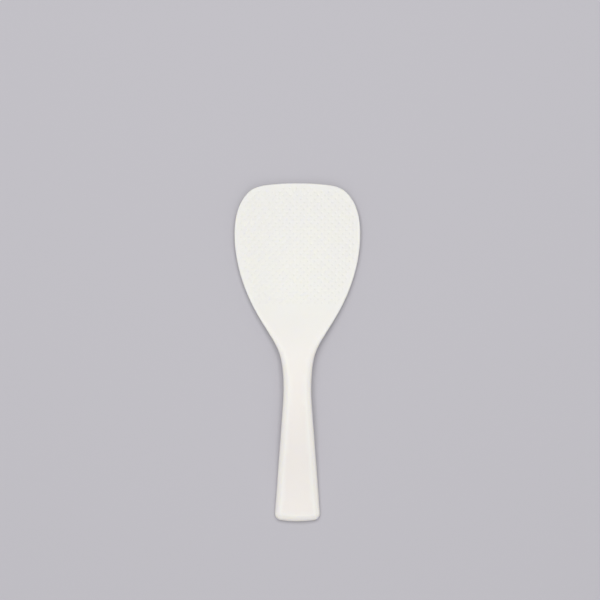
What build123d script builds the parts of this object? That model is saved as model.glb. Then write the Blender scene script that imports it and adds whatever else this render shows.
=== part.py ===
from build123d import *
import os

# Rice paddle: a dished blade and a solid handle, moulded in one piece.
# The paddle lies on its underside: +Z up, the tip towards +Y, the handle towards -Y,
# and the origin is under the middle of its length, on the surface that it rests on.

os.makedirs("parts", exist_ok=True)

# Outline, seen from above
overall_length = 190.0
blade_width = 70.6
widest_from_tip = 29.0
neck_width = 15.6
neck_from_tip = 115.3
handle_end_width = 25.9
handle_end_bulge = 1.3
handle_corner_radius = 4.0

# Heights of the middle of the thickness along the centreline
belly_from_tip = 46.0
belly_height = 1.0
tip_rise = 2.6
neck_rise = 8.6
handle_end_height = 2.7
blade_dish = 3.4
dish_end_from_tip = 110.0

# Thicknesses, and how far in from the edge they fall away
tip_thickness = 1.4
blade_thickness = 2.4
blade_edge_thickness = 1.25
blade_edge_reach = 11.0
handle_thickness = 5.8
handle_edge_thickness = 0.3
handle_edge_reach = 2.9
handle_crown = 0.3
thicken_start_from_tip = 60.0
thicken_end_from_tip = 120.0
handle_end_round = 2.4
handle_end_round_lift = 0.1

# How far the lofted body and the tools that trim it run past the paddle
trim_allowance = 0.4
overrun = 2.0

# Points that the outline passes through, between the places that the sizes above give:
# shares of the half width and of the distance to the widest place, then shares of what
# the half width loses and of the way down to the neck, then the same down the handle.
tip_corner_shares = ((0.43, 0.028), (0.71, 0.117), (0.89, 0.359))
blade_side_shares = (
    (0.073, 0.20), (0.253, 0.38), (0.506, 0.54), (0.758, 0.67), (0.914, 0.77), (0.982, 0.88),
)
handle_side_shares = ((0.101, 0.15), (0.477, 0.50))

# Places of the cross-sections, as shares of the blade's front, its side and the handle
front_station_shares = (0.0, 0.5)
side_station_shares = (0.0, 0.13, 0.26, 0.38, 0.49, 0.59, 0.68, 0.77, 0.86, 0.93)
handle_station_shares = (0.0, 0.2, 0.4, 0.6, 0.8, 1.0)

tip_y = overall_length / 2
end_y = -overall_length / 2
widest_y = tip_y - widest_from_tip
neck_y = tip_y - neck_from_tip
half_blade = blade_width / 2
half_neck = neck_width / 2
half_end = handle_end_width / 2
end_corner = Vector(half_end, end_y + handle_end_bulge)


def between(low, high, share):
    return low + (high - low) * share


def ease(start, end, place):
    """0 before start, 1 after end, and a smooth rise between them."""
    share = min(max((place - start) / (end - start), 0), 1)
    return share**3 * (10 - 15 * share + 6 * share**2)


# The outline: the right half is drawn from the tip round to the handle's end, and mirrored
with BuildSketch() as outline:
    with BuildLine():
        tip_points = [(x * half_blade, tip_y - y * widest_from_tip) for x, y in tip_corner_shares]
        side_points = [
            (between(half_blade, half_neck, x), between(widest_y, neck_y, y)) for x, y in blade_side_shares
        ]
        handle_points = [
            (between(half_neck, half_end, x), between(neck_y, end_y, y)) for x, y in handle_side_shares
        ]
        blade_side = Spline(
            (0, tip_y), *tip_points, (half_blade, widest_y), *side_points, (half_neck, neck_y),
            tangents=((1, 0), (0, -1)),
        )
        handle_side = Spline(
            (half_neck, neck_y), *handle_points, end_corner,
            tangents=((0, -1), end_corner - Vector(*handle_points[-1])),
        )
        mirror(blade_side, about=Plane.YZ)
        mirror(handle_side, about=Plane.YZ)
        ThreePointArc(end_corner, (0, end_y), (-end_corner.X, end_corner.Y))
    make_face()
    fillet(outline.vertices().group_by(Axis.Y)[0], radius=handle_corner_radius)


def half_width(y):
    """Half the width of the outline at y. Past the widest place and the handle's corners it stays."""
    if y >= widest_y:
        return half_blade
    if y <= end_corner.Y:
        return half_end
    side = blade_side if y > neck_y else handle_side
    across = Edge.make_line((0, y), (blade_width, y))
    return side.edge().intersect(across).vertices()[0].X


def middle_height(y):
    """Height of the middle of the thickness on the centreline."""
    from_tip = tip_y - y
    if from_tip < belly_from_tip:
        return belly_height + tip_rise * (1 - from_tip / belly_from_tip) ** 2
    if from_tip < neck_from_tip:
        return between(belly_height, neck_rise, ease(belly_from_tip, neck_from_tip, from_tip))
    return between(neck_rise, handle_end_height, ease(neck_from_tip, overall_length, from_tip))


def section_corners(y, side):
    """The centre, shoulder and outer end of the upper (side 1) or lower (side -1) surface at y."""
    half = half_width(y)
    thicken = ease(thicken_start_from_tip, thicken_end_from_tip, tip_y - y)
    blade = between(tip_thickness, blade_thickness, ease(0, belly_from_tip, tip_y - y))
    thickness = between(blade, handle_thickness, thicken)
    edge = between(blade_edge_thickness, handle_edge_thickness, thicken)
    crown = handle_crown * thicken
    dish = blade_dish * (1 - ease(belly_from_tip, dish_end_from_tip, tip_y - y))

    shoulder = half - min(between(blade_edge_reach, handle_edge_reach, thicken), half / 2)
    outer = half + trim_allowance
    middle = middle_height(y)
    return (
        (0, middle + side * thickness / 2),
        (shoulder, middle + dish * (shoulder / half) ** 2 + side * (thickness / 2 - crown)),
        (outer, middle + dish * (outer / half) ** 2 + side * edge / 2),
    )


stations = [tip_y + overrun]
stations += [between(tip_y, widest_y, share) for share in front_station_shares]
stations += [between(widest_y, neck_y, share) for share in side_station_shares]
stations += [between(neck_y, end_y, share) for share in handle_station_shares]
stations += [end_y - overrun]

with BuildPart() as rice_paddle:
    # The body is lofted a little wider than the outline, which then trims it
    for y in stations:
        with BuildSketch(Plane.XZ.offset(-y)):
            with BuildLine():
                for side in (1, -1):
                    centre, shoulder, outer = section_corners(y, side)
                    crest = ThreePointArc((-shoulder[0], shoulder[1]), centre, shoulder)
                    edge = TangentArc(shoulder, outer, tangent=crest % 1)
                    mirror(edge, about=Plane.YZ)
                Line(outer, (outer[0], section_corners(y, 1)[2][1]))
                Line((-outer[0], outer[1]), (-outer[0], section_corners(y, 1)[2][1]))
            make_face()
    loft()
    with BuildSketch():
        add(outline.sketch)
    extrude(amount=overall_length, both=True, mode=Mode.INTERSECT)

    # The handle's end is rounded over, above and below
    with BuildSketch(Plane.YZ):
        for side in (1, -1):
            surface = middle_height(end_y) + side * (handle_thickness / 2 + handle_end_round_lift)
            with Locations((end_y + handle_end_round, surface - side * handle_end_round)):
                Rectangle(
                    handle_end_round + overrun,
                    handle_end_round + overrun,
                    align=(Align.MAX, Align.MIN if side == 1 else Align.MAX),
                )
                Circle(handle_end_round, mode=Mode.SUBTRACT)
    extrude(amount=overall_length, both=True, mode=Mode.SUBTRACT)

    # The underside is flat where the paddle rests: under the blade and at the handle's end
    with BuildSketch():
        Rectangle(overall_length + overrun, overall_length + overrun)
    extrude(amount=-overrun, mode=Mode.SUBTRACT)

rice_paddle.part.label = "rice_paddle"
export_step(rice_paddle.part, "parts/rice_paddle.step")

rest_flats = rice_paddle.faces().filter_by(Plane.XY).sort_by(Axis.Y)
for name, flat in zip(("handle flat", "blade flat"), rest_flats):
    print(name, "centre", flat.center(), "area", round(flat.area, 1))
print("volume", round(rice_paddle.part.volume), "size", rice_paddle.part.bounding_box().size)
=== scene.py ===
import math

import bpy
import numpy as np
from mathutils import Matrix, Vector, geometry, kdtree


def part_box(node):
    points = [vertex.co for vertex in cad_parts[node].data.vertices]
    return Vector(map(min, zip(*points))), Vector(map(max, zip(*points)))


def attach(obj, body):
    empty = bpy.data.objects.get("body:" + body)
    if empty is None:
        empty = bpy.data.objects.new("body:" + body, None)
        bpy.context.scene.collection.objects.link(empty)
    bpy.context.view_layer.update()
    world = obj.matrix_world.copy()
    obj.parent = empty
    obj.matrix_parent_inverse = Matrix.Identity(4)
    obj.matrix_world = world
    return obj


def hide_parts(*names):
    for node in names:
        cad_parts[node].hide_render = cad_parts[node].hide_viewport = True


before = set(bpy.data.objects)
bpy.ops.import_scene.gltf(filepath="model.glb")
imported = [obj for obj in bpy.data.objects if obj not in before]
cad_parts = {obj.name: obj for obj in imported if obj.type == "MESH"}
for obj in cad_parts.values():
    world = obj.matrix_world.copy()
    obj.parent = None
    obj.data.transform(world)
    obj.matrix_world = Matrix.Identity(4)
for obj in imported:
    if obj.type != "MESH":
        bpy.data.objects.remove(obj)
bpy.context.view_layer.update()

bl_info = {
    "name": "Rice Paddle",
    "version": (1, 0, 0),
    "blender": (4, 5, 0),
    "location": "View3D > Sidebar > Paddle",
    "description": "Makes a moulded rice paddle with a dotted blade, and a plain stage for it",
    "category": "Add Mesh",
}

# The paddle lies on its underside: +Z up, the tip towards +Y, the handle towards -Y.
# All sizes are in metres. The CAD part in model.glb gives the paddle's length and width,
# the place of its tip and the height that it rests at.
MM = 0.001
NODE = "rice_paddle"
BODY = "root"
paddle_low, paddle_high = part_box(NODE)
paddle_size = paddle_high - paddle_low


def size_property(name, description, default):
    return bpy.props.FloatProperty(
        name=name,
        description=description,
        default=default,
        unit="LENGTH",
        subtype="DISTANCE",
        precision=5,
    )


def number_property(name, description, default):
    return bpy.props.FloatProperty(name=name, description=description, default=default, min=0)


def share_property(name, description, default):
    return bpy.props.FloatProperty(
        name=name, description=description, default=default, min=0, max=1, subtype="FACTOR"
    )


def colour_property(name, description, default):
    return bpy.props.StringProperty(name=name, description=description, default=default)


class PaddleOutline(bpy.types.PropertyGroup):
    """Sizes seen from above"""

    length: size_property("Length", "From the tip to the handle's end", paddle_size.y)
    width: size_property("Width", "Across the widest place of the blade", paddle_size.x)
    widest_from_tip: size_property("Widest from tip", "Where the blade is widest", 29 * MM)
    neck_width: size_property("Neck width", "Across the narrowest place", 15.6 * MM)
    neck_from_tip: size_property("Neck from tip", "Where the paddle is narrowest", 115.3 * MM)
    end_width: size_property("End width", "Across the handle's end", 25.9 * MM)
    end_bulge: size_property("End bulge", "How far the handle's end curves out", 1.3 * MM)
    end_corner_radius: size_property(
        "End corner radius", "Rounding of the handle's end corners", 4.0 * MM
    )


class PaddleSection(bpy.types.PropertyGroup):
    """Heights, thicknesses and edges"""

    belly_from_tip: size_property("Belly from tip", "Where the blade rests", 46 * MM)
    belly_height: size_property("Belly height", "Mid-thickness above the table there", 1.0 * MM)
    tip_rise: size_property("Tip rise", "How far the tip turns up", 2.6 * MM)
    neck_rise: size_property(
        "Neck rise", "Mid-thickness above the table at the neck", 8.6 * MM
    )
    end_height: size_property(
        "End height", "Mid-thickness above the table at the handle's end", 2.7 * MM
    )
    dish: size_property("Dish", "How far the blade's sides stand above its middle", 3.4 * MM)
    dish_end_from_tip: size_property(
        "Dish end from tip", "Where the dish has run out", 110 * MM
    )
    tip_thickness: size_property("Tip thickness", "Thickness at the tip", 1.6 * MM)
    blade_thickness: size_property("Blade thickness", "Thickness of the blade", 2.4 * MM)
    blade_edge: size_property("Blade edge", "Thickness at the blade's rim", 1.3 * MM)
    blade_bevel: size_property(
        "Blade bevel", "Width of the bevel along the blade's rim", 1.1 * MM
    )
    blade_taper_reach: size_property(
        "Blade taper reach", "How far in from its rim the blade starts to thin", 11 * MM
    )
    blade_taper_share: share_property(
        "Blade taper share", "How much of the blade's thinning is its taper, not its bevel", 0.6
    )
    handle_thickness: size_property("Handle thickness", "Thickness of the handle", 5.8 * MM)
    handle_edge: size_property("Handle edge", "Thickness at the handle's rim", 2.4 * MM)
    handle_bevel: size_property(
        "Handle bevel", "Width of the bevel along the handle's rim", 3.1 * MM
    )
    handle_roundness: share_property(
        "Handle roundness", "Of the handle's bevel: 0 is flat, 1 is rounded", 0.4
    )
    # A painted highlight, not a shape: the width of the lighter line along the handle's bevel
    painted_highlight_width: size_property(
        "Painted highlight width", "Half the width of the light line along the handle's bevel", 0.7 * MM
    )
    handle_crown: size_property("Handle crown", "How far the handle's faces bulge", 0.3 * MM)
    thicken_start: size_property(
        "Thicken start", "From the tip, where the blade starts to thicken", 60 * MM
    )
    thicken_end: size_property(
        "Thicken end", "From the tip, where the handle's thickness is reached", 120 * MM
    )
    blade_softness: size_property(
        "Blade softness", "How far each side of its inner edge the bevel blends", 0.3 * MM
    )
    handle_softness: size_property("Handle softness", "The same along the handle", 0.5 * MM)
    blade_rim_radius: size_property(
        "Blade rim radius", "Rounding of the blade's rim", 0.5 * MM
    )
    handle_rim_radius: size_property(
        "Handle rim radius", "Rounding of the handle's rim", 1.0 * MM
    )


class PaddleDots(bpy.types.PropertyGroup):
    """The raised dots that keep rice from sticking"""

    pitch_across: size_property("Pitch across", "Between the dots of a row", 3.94 * MM)
    pitch_along: size_property("Pitch along", "Between every second row", 3.89 * MM)
    diameter: size_property("Diameter", "Of a dot at its foot", 1.8 * MM)
    height: size_property("Height", "Of a dot above the blade", 0.2 * MM)
    first_from_tip: size_property("First from tip", "The row nearest to the tip", 2.85 * MM)
    last_from_tip: size_property("Last from tip", "No row is further from the tip", 67.3 * MM)
    margin: size_property("Margin", "Least distance from a dot's middle to the rim", 2.55 * MM)


class PaddleFinish(bpy.types.PropertyGroup):
    """The plastic's colours and surface"""

    blade_colour: colour_property("Blade colour", "sRGB hex of the thin plastic", "EFEEE9")
    handle_colour: colour_property("Handle colour", "sRGB hex of the thick plastic", "F2EDE8")
    # Painted highlight: a lighter colour along the inner edge of the handle's bevel, half of it
    # over the bevel
    painted_highlight_colour: colour_property(
        "Painted highlight colour", "sRGB hex of the line along the handle's bevel", "F6F4EF"
    )
    cloud_size: size_property("Cloud size", "Width of the clouds in the warmth", 25 * MM)
    cloudiness: share_property("Cloudiness", "How far the clouds shift the warmth", 0.15)
    milkiness: share_property("Milkiness", "How much light spreads under the skin", 0.3)
    light_spread: size_property("Light spread", "How far that light spreads", 2 * MM)
    roughness: share_property("Roughness", "Of the moulded surface", 0.48)
    gloss_change: share_property("Gloss change", "How far the grain shifts the roughness", 0.05)
    grain: size_property("Grain", "Width of the mould's spark-eroded grain", 0.35 * MM)
    grain_height: size_property("Grain height", "How far the grain stands out", 0.05 * MM)
    grain_strength: share_property("Grain strength", "How strongly the grain shows", 0.08)


class StageSettings(bpy.types.PropertyGroup):
    """Floor, lamps and camera"""

    floor_colour: colour_property(
        "Floor colour", "sRGB hex of the floor and the backdrop", "C5C3C9"
    )
    floor_size: size_property("Floor size", "Side of the square floor", 8.0)
    fade_start: size_property(
        "Fade start", "From the middle, where the floor starts to fade", 0.3
    )
    fade_end: size_property(
        "Fade end", "From the middle, where only the backdrop is left", 1.2
    )
    key_power: number_property("Key power", "Of the lamp above the blade, in watts", 16.4)
    fill_power: number_property("Fill power", "Of the lamp past the handle, in watts", 3)
    sky_strength: number_property("Sky strength", "Of the even light from all round", 0.355)
    frame_width: size_property(
        "Frame width", "What the picture takes in at the table", 337.8 * MM
    )
    camera_height: size_property("Camera height", "Above the table", 1.6)
    aim_x: size_property("Aim X", "Where the camera looks, across", 1.47 * MM)
    aim_y: size_property("Aim Y", "Where the camera looks, along", 29.39 * MM)


# Where the two square lamps hang, and how wide they are
KEY_PLACE, KEY_SIDE = (-0.06, 0.36, 1.6), 1.1
FILL_PLACE, FILL_SIDE = (0.2, -0.8, 1.4), 1.4

# Points that the outline passes through: shares of the half width and of the distance to
# the widest place, then shares of what the half width loses and of the way down to the
# neck, then the same down the handle.
TIP_SHARES = ((0.43, 0.028), (0.71, 0.117), (0.89, 0.359))
SIDE_SHARES = (
    (0.073, 0.20), (0.253, 0.38), (0.506, 0.54), (0.758, 0.67), (0.914, 0.77), (0.982, 0.88)
)
HANDLE_SHARES = ((0.101, 0.15), (0.477, 0.50))

# How finely the outline is cut: each span and each rounded corner of its curve, and then
# the even steps along it. Next to the handle's end the curve stops this many radii from the
# sharp corner, to leave room for the rounding.
CURVE_STEPS = 60
CORNER_STEPS = 12
OUTLINE_STEP = 0.8 * MM
CORNER_CLEARANCE = 1.2

# Rings inside the outline: over the rim's rounding, then as shares of the way over the
# bevel, then as shares of the softness to each side of the bevel's inner edge
RIM_ANGLES = np.radians((0, 22.5, 45, 67.5, 90))
BEVEL_SHARES = (0.33, 0.67, 1.0)
SOFT_SHARES = (-0.5, 0.0, 0.5, 1.0)

# Where the outline is tight, the rings share out this much of the room there is. The room
# is found in this many steps, with distances this close taken as equal.
ROOM_SHARE = 0.94
ROOM_STEPS = 60
NEAR = 0.001 * MM

# Least distance from the last ring to the even points that fill the inside
FILL_CLEARANCE = 0.7 * MM

# Rings of a dot as shares of its radius. The last lies on the blade round the dot's foot.
DOT_RING_SHARES = (0.33, 0.67, 1.0, 1.2)
DOT_SIDES = 12

# For Blender's triangulation, which gets millimetres: its kind of result that keeps the
# triangles inside the boundary, and how close points have to be to count as one
INSIDE_ONLY = 1
TRIANGULATION_TOLERANCE = 1e-6

# Name of the mesh's value that paints a highlight along the inner edge of the handle's bevel, and
# a lighter tone over the bevel
PAINTED_HIGHLIGHT = "painted_highlight"


def ease(start, end, place):
    """0 before start, 1 after end, and a smooth rise between them."""
    share = np.clip((place - start) / (end - start), 0, 1)
    return share**3 * (10 - 15 * share + 6 * share**2)


def between(low, high, share):
    return low + (high - low) * share


def smooth_curve(places, start_way, end_way):
    """Points along a curve through places that bends evenly and has the given end directions."""
    places = np.array(places, dtype=float)
    spans = np.linalg.norm(np.diff(places, axis=0), axis=1)
    count = len(places)
    system, wanted = np.eye(count), np.zeros((count, 2))
    wanted[0], wanted[-1] = start_way, end_way
    for i in range(1, count - 1):
        before, after = 1 / spans[i - 1], 1 / spans[i]
        system[i, i - 1:i + 2] = before, 2 * (before + after), after
        wanted[i] = 3 * (
            (places[i] - places[i - 1]) * before**2 + (places[i + 1] - places[i]) * after**2
        )
    slopes = np.linalg.solve(system, wanted)
    points = [places[0]]
    for i, span in enumerate(spans):
        knots = (
            places[i],
            places[i] + slopes[i] * span / 3,
            places[i + 1] - slopes[i + 1] * span / 3,
            places[i + 1],
        )
        run = geometry.interpolate_bezier(*[Vector((*knot, 0)) for knot in knots], CURVE_STEPS)
        points += [np.array(point[:2]) for point in run[1:]]
    return points


def rounded_corner(before, corner, after, radius):
    """Points of the arc of the given radius that rounds the corner."""
    back = (before - corner) / np.linalg.norm(before - corner)
    on = (after - corner) / np.linalg.norm(after - corner)
    half_angle = math.acos(float(np.dot(back, on))) / 2
    middle = (back + on) / np.linalg.norm(back + on)
    centre = corner + middle * radius / math.sin(half_angle)
    reach = radius / math.tan(half_angle)
    start, end = corner + back * reach - centre, corner + on * reach - centre
    turn = math.pi - 2 * half_angle
    points = []
    for i in range(CORNER_STEPS + 1):
        share = i / CORNER_STEPS
        weights = math.sin((1 - share) * turn), math.sin(share * turn)
        points.append(centre + (start * weights[0] + end * weights[1]) / math.sin(turn))
    return points


class Form:
    """The paddle's outline and its upper and lower surfaces, worked out from the sizes."""

    def __init__(self, outline, section):
        self.section = section
        self.length = outline.length
        self.neck_from_tip = outline.neck_from_tip
        self.half_blade = outline.width / 2
        self.tip = paddle_high.y
        self.end = self.tip - outline.length
        self.widest = self.tip - outline.widest_from_tip
        self.neck = self.tip - outline.neck_from_tip
        self.right = self.right_side(outline)
        self.loop = self.even_loop()
        self.tree = kdtree.KDTree(len(self.loop))
        for i, point in enumerate(self.loop):
            self.tree.insert((*point, 0), i)
        self.tree.balance()

    def right_side(self, outline):
        """Points from the tip's middle round the right side to the middle of the handle's end."""
        half_neck, half_end = outline.neck_width / 2, outline.end_width / 2
        tip_places = [
            (x * self.half_blade, self.tip - y * outline.widest_from_tip) for x, y in TIP_SHARES
        ]
        side_places = [
            (between(self.half_blade, half_neck, x), between(self.widest, self.neck, y))
            for x, y in SIDE_SHARES
        ]
        handle_places = [
            (between(half_neck, half_end, x), between(self.neck, self.end, y))
            for x, y in HANDLE_SHARES
        ]
        widest_place, neck_place = (self.half_blade, self.widest), (half_neck, self.neck)
        blade = [(0, self.tip), *tip_places, widest_place, *side_places, neck_place]
        corner = np.array((half_end, self.end + outline.end_bulge))
        arrival = corner - np.array(handle_places[-1])
        arrival /= np.linalg.norm(arrival)
        points = smooth_curve(blade, (1, 0), (0, -1))
        points += smooth_curve([neck_place, *handle_places, corner], (0, -1), arrival)[1:]

        radius = outline.end_corner_radius
        clear = CORNER_CLEARANCE * radius
        kept = [point for point in points if np.linalg.norm(point - corner) > clear]
        bulge_radius = (half_end**2 + outline.end_bulge**2) / (2 * outline.end_bulge)
        along_end = corner - np.array((radius, radius * half_end / bulge_radius))
        arc = rounded_corner(kept[-1], corner, along_end, radius)
        end_curve = []
        for x in np.linspace(arc[-1][0], 0, CURVE_STEPS)[1:]:
            rise = bulge_radius - math.sqrt(bulge_radius**2 - x**2)
            end_curve.append(np.array((x, self.end + rise)))
        return np.array(kept + arc + end_curve)

    def even_loop(self):
        """The whole outline as points at even steps, clockwise from the tip's middle."""
        steps = np.linalg.norm(np.diff(self.right, axis=0), axis=1)
        lengths = np.concatenate(([0], np.cumsum(steps)))
        places = np.linspace(0, lengths[-1], round(lengths[-1] / OUTLINE_STEP) + 1)
        right = np.stack([np.interp(places, lengths, self.right[:, k]) for k in (0, 1)], axis=1)
        left = right[-2:0:-1] * (-1, 1)
        return np.concatenate((right, left))

    def ways_in(self):
        """The inward direction at each point of the loop."""
        along = np.roll(self.loop, -1, axis=0) - np.roll(self.loop, 1, axis=0)
        along /= np.linalg.norm(along, axis=1)[:, None]
        return np.stack((along[:, 1], -along[:, 0]), axis=1)

    def inset(self, points):
        """Distance in from the outline of each point."""
        return np.array([self.tree.find((x, y, 0))[2] for x, y in points])

    def half_width(self, y):
        """Half the outline's width at each y."""
        return np.interp(y, self.right[::-1, 1], self.right[::-1, 0])

    def inside(self, points):
        """Which points lie inside the outline."""
        x, y = points[:, 0], points[:, 1]
        return (np.abs(x) < self.half_width(y)) & ((y < self.tip) & (y > self.end))

    def thicken(self, y):
        """0 where the paddle is a thin blade, 1 where it is a thick handle."""
        return ease(self.section.thicken_start, self.section.thicken_end, self.tip - y)

    def bevel_width(self, y):
        return between(self.section.blade_bevel, self.section.handle_bevel, self.thicken(y))

    def softness(self, y):
        return between(
            self.section.blade_softness, self.section.handle_softness, self.thicken(y)
        )

    def rim_radius(self, y):
        return between(
            self.section.blade_rim_radius, self.section.handle_rim_radius, self.thicken(y)
        )

    def middle(self, from_tip):
        """Height of the middle of the thickness on the centreline."""
        s = self.section
        front = s.belly_height + s.tip_rise * (1 - np.minimum(from_tip / s.belly_from_tip, 1)) ** 2
        to_neck = ease(s.belly_from_tip, self.neck_from_tip, from_tip)
        to_end = ease(self.neck_from_tip, self.length, from_tip)
        rise = between(s.belly_height, s.neck_rise, to_neck)
        middle = np.where(from_tip < s.belly_from_tip, front, rise)
        fall = between(s.neck_rise, s.end_height, to_end)
        return np.where(from_tip < self.neck_from_tip, middle, fall)

    def drop(self, inset, y, fall):
        """How far each surface falls away towards the rim. The bevel and the blade's taper
        come to fall between them, and the rim's rounding is added."""
        s, thicken = self.section, self.thicken(y)
        bevel, rim = self.bevel_width(y), self.rim_radius(y)
        out = (bevel - inset) / bevel
        ramp = (out + np.sqrt(out**2 + (self.softness(y) / bevel) ** 2)) / 2
        ramp *= 1 - s.handle_roundness * thicken * (1 - ramp)
        taper = s.blade_taper_share * (1 - thicken)
        drop = fall * (1 - taper) * ramp
        drop += fall * taper * (1 - np.minimum(inset / s.blade_taper_reach, 1)) ** 2
        drop += rim - np.sqrt(rim**2 - np.clip(rim - inset, 0, rim) ** 2)
        return drop

    def heights(self, points, inset, side):
        """Heights of the upper (side 1) or lower (side -1) surface at points that far in."""
        s = self.section
        x, y = points[:, 0], points[:, 1]
        from_tip, thicken = self.tip - y, self.thicken(y)
        blade = between(s.tip_thickness, s.blade_thickness, ease(0, s.belly_from_tip, from_tip))
        thickness = between(blade, s.handle_thickness, thicken)
        edge = between(s.blade_edge, s.handle_edge, thicken)
        crown = s.handle_crown * thicken
        drop = self.drop(inset, y, (thickness - edge) / 2 - crown)

        # The dish and the crown spread over the half width, which stays as it is past the
        # blade's widest place and over the bevel at the handle's end
        half = self.half_width(np.maximum(y, self.end + s.handle_bevel))
        half = np.where(y > self.widest, self.half_blade, half)
        crown *= np.minimum(np.abs(x) / (half - self.bevel_width(y)), 1) ** 2
        dish = s.dish * (1 - ease(s.belly_from_tip, s.dish_end_from_tip, from_tip))
        middle = self.middle(from_tip) + dish * (x / half) ** 2
        return np.maximum(middle + side * (thickness / 2 - crown - drop), paddle_low.z)

    def painted_highlight(self, inset, y):
        """Share of the painted highlight: 1 along the inner edge of the handle's bevel, half over
        the bevel and 0 further in.
        """
        away = (inset - self.bevel_width(y)) / self.section.painted_highlight_width
        line = np.exp(-(away**2))
        return self.thicken(y) * np.where(away < 0, (1 + line) / 2, line)

    def ring_insets(self):
        """How far in each ring lies, at each point of the loop: the rounding, then the bevel."""
        y = self.loop[:, 1]
        radius, bevel, softness = self.rim_radius(y), self.bevel_width(y), self.softness(y)
        insets = [radius * (1 - math.cos(angle)) for angle in RIM_ANGLES]
        insets += [between(radius, bevel - softness, share) for share in BEVEL_SHARES]
        insets += [bevel + softness * share for share in SOFT_SHARES]
        room = np.minimum(1, ROOM_SHARE * self.depths(insets[-1].max()) / insets[-1])
        return [inset * room for inset in insets]

    def depths(self, most):
        """How far in from each point of the loop that point is still the nearest of all."""
        ways, depths = self.ways_in(), np.zeros(len(self.loop))
        for depth in np.linspace(0, 2 * most, ROOM_STEPS):
            nearest = self.inset(self.loop + ways * depth) > depth - NEAR
            depths = np.where(nearest, depth, depths)
        return depths


def dot_places(form, dots):
    """Middles of the dots: rows that are staggered by half a pitch, clear of the rim."""
    rows = int(2 * (dots.last_from_tip - dots.first_from_tip) / dots.pitch_along) + 1
    columns = int(form.half_blade / dots.pitch_across)
    places = []
    for row in range(rows):
        for column in range(-columns - 1, columns + 1):
            x = (column + row % 2 / 2) * dots.pitch_across
            y = form.tip - dots.first_from_tip - row * dots.pitch_along / 2
            places.append((x, y))
    places = np.array(places)
    places = places[form.inside(places)]
    return places[form.inset(places) > dots.margin]


def fill_places(form, dots, middles):
    """Even points over the paddle's inside, clear of the rim's rings and of the dots."""
    step_x, step_y = dots.pitch_across / 2, dots.pitch_along / 2
    most = math.ceil(form.half_blade / step_x)
    columns, rows = np.arange(-most, most + 1), np.arange(math.ceil(form.length / step_y))
    x, y = np.meshgrid(columns * step_x, form.tip - dots.first_from_tip - rows * step_y)
    places = np.stack((x.ravel(), y.ravel()), axis=1)
    places = places[form.inside(places)]
    clear = form.bevel_width(places[:, 1]) + form.softness(places[:, 1]) + FILL_CLEARANCE
    places = places[form.inset(places) > clear]

    def cell(x, y):
        return round(x / step_x), round((form.tip - y) / step_y)

    taken = {cell(x, y) for x, y in middles}
    return places[[cell(x, y) not in taken for x, y in places]]


def dot_rings(middles, dots):
    """Points of the rings that make each dot, and how high each stands above the blade."""
    points, lifts = [middles], [np.full(len(middles), dots.height)]
    for ring, share in enumerate(DOT_RING_SHARES):
        away = share * dots.diameter / 2
        lift = dots.height * (1 + math.cos(math.pi * min(share, 1))) / 2
        for i in range(DOT_SIDES):
            angle = math.tau * (i + ring % 2 / 2) / DOT_SIDES
            points.append(middles + (away * math.cos(angle), away * math.sin(angle)))
            lifts.append(np.full(len(middles), lift))
    return np.concatenate(points), np.concatenate(lifts)


def filled_skin(boundary, inside, first):
    """Triangles over the points inside the closed boundary. The boundary's points come first,
    and the first of them has that place in the mesh."""
    points = np.concatenate((boundary, inside)) * (1 / MM)
    count = len(boundary)
    edges = [(i, (i + 1) % count) for i in range(count)]
    made = geometry.delaunay_2d_cdt(
        [Vector(point) for point in points], edges, [], INSIDE_ONLY, TRIANGULATION_TOLERANCE
    )
    triangles, sources = made[2], made[3]
    return [[first + sources[i][0] for i in triangle] for triangle in triangles]


def band(outer, nearer, count):
    """Quads between two rings of the mesh, whose first points have those places in it."""
    quads = []
    for i in range(count):
        j = (i + 1) % count
        quads.append([outer + j, outer + i, nearer + i, nearer + j])
    return quads


def paddle_mesh(form, dots):
    """The paddle's closed mesh: an upper and a lower skin that share the rim's side wall."""
    loop, ways, insets = form.loop, form.ways_in(), form.ring_insets()
    count = len(loop)
    rings = [loop + ways * inset[:, None] for inset in insets]
    middles = dot_places(form, dots)
    fill = fill_places(form, dots, middles)
    dot_points, dot_lifts = dot_rings(middles, dots)
    upper_lifts = np.concatenate((np.zeros(len(fill)), dot_lifts))
    skins = {
        1: (np.concatenate((fill, dot_points)), upper_lifts),
        -1: (np.concatenate((fill, middles)), 0),
    }

    # The painted highlight's share along the handle's bevel is gathered with the vertices
    vertices, painted_highlights, faces, firsts = [], [], [], {}
    for side, (inner, lifts) in skins.items():
        first = firsts[side] = sum(len(part) for part in vertices)
        for ring, inset in zip(rings, insets):
            vertices.append(np.column_stack((ring, form.heights(ring, inset, side))))
            painted_highlights.append(form.painted_highlight(inset, ring[:, 1]))
        inset = form.inset(inner)
        vertices.append(np.column_stack((inner, form.heights(inner, inset, side) + lifts)))
        painted_highlights.append(form.painted_highlight(inset, inner[:, 1]))

        # Bands between the rim's rings, then the skin inside the last ring
        starts = [first + i * count for i in range(len(rings))]
        skin = []
        for outer, nearer in zip(starts, starts[1:]):
            skin += band(outer, nearer, count)
        skin += filled_skin(rings[-1], inner, starts[-1])
        faces += skin if side == 1 else [face[::-1] for face in skin]
    faces += band(firsts[-1], firsts[1], count)

    mesh = bpy.data.meshes.new(NODE)
    mesh.from_pydata(np.concatenate(vertices).tolist(), [], faces)
    mesh.validate()
    mesh.shade_smooth()
    # The painted highlight's share at each point, which the material reads
    painted_highlight = mesh.attributes.new(PAINTED_HIGHLIGHT, "FLOAT", "POINT")
    painted_highlight.data.foreach_set("value", np.concatenate(painted_highlights))
    return mesh


# A Mix node's sockets for colours have the same names as those for numbers and vectors, so
# they are found by their places: the two inputs and the output
COLOUR_A, COLOUR_B, COLOUR_OUT = 6, 7, 2


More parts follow.
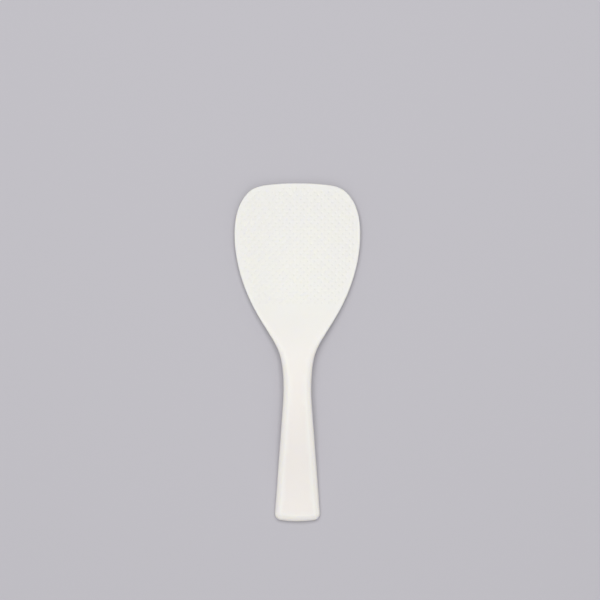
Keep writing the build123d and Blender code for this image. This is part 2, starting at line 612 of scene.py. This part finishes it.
def linear(hex_colour):
    """Linear colour of an sRGB hex value."""
    values = [int(hex_colour[i:i + 2], 16) / 255 for i in (0, 2, 4)]
    return [v / 12.92 if v <= 0.04045 else ((v + 0.055) / 1.055) ** 2.4 for v in values] + [1]


def add_node(tree, kind, settings=None, links=None):
    """Adds a node. Settings name its attributes or input sockets, links give sockets to join
    to its inputs, and an input can be given by its place too."""
    node = tree.nodes.new(kind)
    for key, value in (settings or {}).items():
        if isinstance(key, int) or key in node.inputs:
            node.inputs[key].default_value = value
        else:
            setattr(node, key, value)
    for key, socket in (links or {}).items():
        tree.links.new(socket, node.inputs[key])
    return node


def moulded_polypropylene(finish, section):
    """Injection-moulded polypropylene: milky, so light spreads a little under a satin skin, and
    the thick handle looks warmer than the thin blade. Its flow in the mould left the warmth
    slightly cloudy. The mould was spark eroded, which gives a fine grain. The real grain is
    about 0.05 mm, too fine to show, so it is drawn coarser."""
    material = bpy.data.materials.new("moulded_polypropylene")
    material.use_nodes = True
    tree = material.node_tree
    shader = tree.nodes["Principled BSDF"]
    shader.inputs["IOR"].default_value = 1.49
    shader.inputs["Subsurface Weight"].default_value = finish.milkiness
    shader.inputs["Subsurface Radius"].default_value = (1.0, 0.95, 0.6)
    shader.inputs["Subsurface Scale"].default_value = finish.light_spread

    # It gets warmer from the blade to the handle as the plastic thickens, with slight clouds
    place = add_node(tree, "ShaderNodeTexCoord").outputs["Object"]
    along = add_node(tree, "ShaderNodeSeparateXYZ", links={"Vector": place}).outputs["Y"]
    thickening = {
        "interpolation_type": "SMOOTHSTEP",
        "From Min": paddle_high.y - section.thicken_start,
        "From Max": paddle_high.y - section.thicken_end,
    }
    thickness = add_node(tree, "ShaderNodeMapRange", thickening, {"Value": along})
    clouds = {"Scale": 1 / finish.cloud_size, "Detail": 2.0}
    flow = add_node(tree, "ShaderNodeTexNoise", clouds, {"Vector": place})
    shift = {"To Min": -finish.cloudiness, "To Max": finish.cloudiness}
    cloudy = add_node(tree, "ShaderNodeMapRange", shift, {"Value": flow.outputs["Fac"]})
    warmth = add_node(
        tree,
        "ShaderNodeMath",
        {"operation": "ADD", "use_clamp": True},
        {0: thickness.outputs["Result"], 1: cloudy.outputs["Result"]},
    )
    colours = {
        "data_type": "RGBA",
        COLOUR_A: linear(finish.blade_colour),
        COLOUR_B: linear(finish.handle_colour),
    }
    body = add_node(tree, "ShaderNodeMix", colours, {"Factor": warmth.outputs["Value"]})

    # Painted highlight along the inner edge of the handle's bevel, with half of it painted over
    # the bevel
    painted_highlight = add_node(tree, "ShaderNodeAttribute", {"attribute_name": PAINTED_HIGHLIGHT})
    edged = add_node(
        tree,
        "ShaderNodeMix",
        {"data_type": "RGBA", COLOUR_B: linear(finish.painted_highlight_colour)},
        {"Factor": painted_highlight.outputs["Fac"], COLOUR_A: body.outputs[COLOUR_OUT]},
    )
    tree.links.new(edged.outputs[COLOUR_OUT], shader.inputs["Base Color"])

    # The grain stands out a little and shifts the gloss
    graining = {"Scale": 1 / finish.grain, "Detail": 3.0}
    grain = add_node(tree, "ShaderNodeTexNoise", graining, {"Vector": place}).outputs["Fac"]
    glossing = {
        "To Min": finish.roughness - finish.gloss_change,
        "To Max": finish.roughness + finish.gloss_change,
    }
    gloss = add_node(tree, "ShaderNodeMapRange", glossing, {"Value": grain})
    tree.links.new(gloss.outputs["Result"], shader.inputs["Roughness"])
    relief = {"Strength": finish.grain_strength, "Distance": finish.grain_height}
    bump = add_node(tree, "ShaderNodeBump", relief, {"Height": grain})
    tree.links.new(bump.outputs["Normal"], shader.inputs["Normal"])
    return material


def painted_floor(stage):
    """Matt emulsion paint in the given colour, without sheen. Far out, where the lamps don't
    reach, the camera sees the plain backdrop instead, so there is no horizon."""
    material = bpy.data.materials.new("matt_emulsion_paint")
    material.use_nodes = True
    tree = material.node_tree
    shader = tree.nodes["Principled BSDF"]
    shader.inputs["Base Color"].default_value = linear(stage.floor_colour)
    shader.inputs["Roughness"].default_value = 0.9
    shader.inputs["Specular IOR Level"].default_value = 0.1

    place = add_node(tree, "ShaderNodeTexCoord").outputs["Object"]
    away = add_node(tree, "ShaderNodeVectorMath", {"operation": "LENGTH"}, {"Vector": place})
    fading = {
        "interpolation_type": "SMOOTHSTEP",
        "From Min": stage.fade_start,
        "From Max": stage.fade_end,
    }
    fade = add_node(tree, "ShaderNodeMapRange", fading, {"Value": away.outputs["Value"]})
    seen = add_node(tree, "ShaderNodeLightPath").outputs["Is Camera Ray"]
    share = add_node(
        tree, "ShaderNodeMath", {"operation": "MULTIPLY"}, {0: fade.outputs["Result"], 1: seen}
    )
    backdrop = add_node(tree, "ShaderNodeEmission", {"Color": linear(stage.floor_colour)})
    shaders = {1: shader.outputs["BSDF"], 2: backdrop.outputs["Emission"]}
    mixed = add_node(
        tree, "ShaderNodeMixShader", links={"Fac": share.outputs["Value"], **shaders}
    )
    tree.links.new(mixed.outputs["Shader"], tree.nodes["Material Output"].inputs["Surface"])
    return material


def studio_world(stage):
    """Even white light from all round. The camera and reflections see the backdrop's colour."""
    world = bpy.data.worlds.new("studio")
    world.use_nodes = True
    tree = world.node_tree
    sky = tree.nodes["Background"]
    sky.inputs["Color"].default_value = linear("FFFFFF")
    sky.inputs["Strength"].default_value = stage.sky_strength
    path = add_node(tree, "ShaderNodeLightPath")
    seen = add_node(
        tree,
        "ShaderNodeMath",
        {"operation": "MAXIMUM"},
        {0: path.outputs["Is Camera Ray"], 1: path.outputs["Is Glossy Ray"]},
    )
    backdrop = add_node(tree, "ShaderNodeBackground", {"Color": linear(stage.floor_colour)})
    shaders = {1: sky.outputs["Background"], 2: backdrop.outputs["Background"]}
    mixed = add_node(
        tree, "ShaderNodeMixShader", links={"Fac": seen.outputs["Value"], **shaders}
    )
    tree.links.new(mixed.outputs["Shader"], tree.nodes["World Output"].inputs["Surface"])
    return world


def soft_lamp(name, place, side, power):
    """A square area lamp at place that shines at the middle of the paddle."""
    data = bpy.data.lights.new(name, "AREA")
    data.shape = "SQUARE"
    data.size = side
    data.energy = power
    lamp = bpy.data.objects.new(name, data)
    lamp.location = place
    lamp.rotation_mode = "QUATERNION"
    lamp.rotation_quaternion = (-Vector(place)).to_track_quat("-Z", "Y")
    bpy.context.scene.collection.objects.link(lamp)


class PADDLE_OT_add_paddle(bpy.types.Operator):
    """Make the moulded paddle with its dotted blade"""

    bl_idname = "paddle.add_paddle"
    bl_label = "Add Rice Paddle"

    def execute(self, context):
        scene = context.scene
        form = Form(scene.paddle_outline, scene.paddle_section)
        mesh = paddle_mesh(form, scene.paddle_dots)
        mesh.materials.append(moulded_polypropylene(scene.paddle_finish, scene.paddle_section))
        paddle = bpy.data.objects.new("moulded_paddle", mesh)
        scene.collection.objects.link(paddle)
        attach(paddle, BODY)
        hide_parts(NODE)
        return {"FINISHED"}


class PADDLE_OT_add_stage(bpy.types.Operator):
    """Make the floor, the lamps, the world and the camera"""

    bl_idname = "paddle.add_stage"
    bl_label = "Add Stage"

    def execute(self, context):
        scene = context.scene
        stage = scene.paddle_stage
        half = stage.floor_size / 2
        mesh = bpy.data.meshes.new("floor")
        corners = [(-half, -half, 0), (half, -half, 0), (half, half, 0), (-half, half, 0)]
        mesh.from_pydata(corners, [], [(0, 1, 2, 3)])
        mesh.materials.append(painted_floor(stage))
        floor = bpy.data.objects.new("floor", mesh)
        scene.collection.objects.link(floor)

        soft_lamp("key_lamp", KEY_PLACE, KEY_SIDE, stage.key_power)
        soft_lamp("fill_lamp", FILL_PLACE, FILL_SIDE, stage.fill_power)
        scene.world = studio_world(stage)

        camera_data = bpy.data.cameras.new("camera")
        camera_data.lens = camera_data.sensor_width * stage.camera_height / stage.frame_width
        camera = bpy.data.objects.new("camera", camera_data)
        camera.location = (stage.aim_x, stage.aim_y, stage.camera_height)
        scene.collection.objects.link(camera)
        scene.camera = camera
        scene.view_settings.view_transform = "Standard"
        return {"FINISHED"}


SETTINGS = {
    "paddle_outline": PaddleOutline,
    "paddle_section": PaddleSection,
    "paddle_dots": PaddleDots,
    "paddle_finish": PaddleFinish,
    "paddle_stage": StageSettings,
}


class PADDLE_PT_sidebar(bpy.types.Panel):
    """Lists what this add-on makes, with its sizes"""

    bl_label = "Rice Paddle"
    bl_idname = "PADDLE_PT_sidebar"
    bl_space_type = "VIEW_3D"
    bl_region_type = "UI"
    bl_category = "Paddle"

    def draw(self, context):
        layout = self.layout
        for operator in (PADDLE_OT_add_paddle, PADDLE_OT_add_stage):
            layout.operator(operator.bl_idname)
        for name in SETTINGS:
            group = getattr(context.scene, name)
            box = layout.box()
            box.label(text=group.bl_rna.description)
            for key in group.__annotations__:
                box.prop(group, key)


CLASSES = (*SETTINGS.values(), PADDLE_OT_add_paddle, PADDLE_OT_add_stage, PADDLE_PT_sidebar)


def register():
    for made in CLASSES:
        bpy.utils.register_class(made)
    for name, group in SETTINGS.items():
        setattr(bpy.types.Scene, name, bpy.props.PointerProperty(type=group))


def unregister():
    for name in SETTINGS:
        delattr(bpy.types.Scene, name)
    for made in reversed(CLASSES):
        bpy.utils.unregister_class(made)


def main():
    register()
    bpy.ops.paddle.add_stage()
    bpy.ops.paddle.add_paddle()


if __name__ == "__main__":
    main()
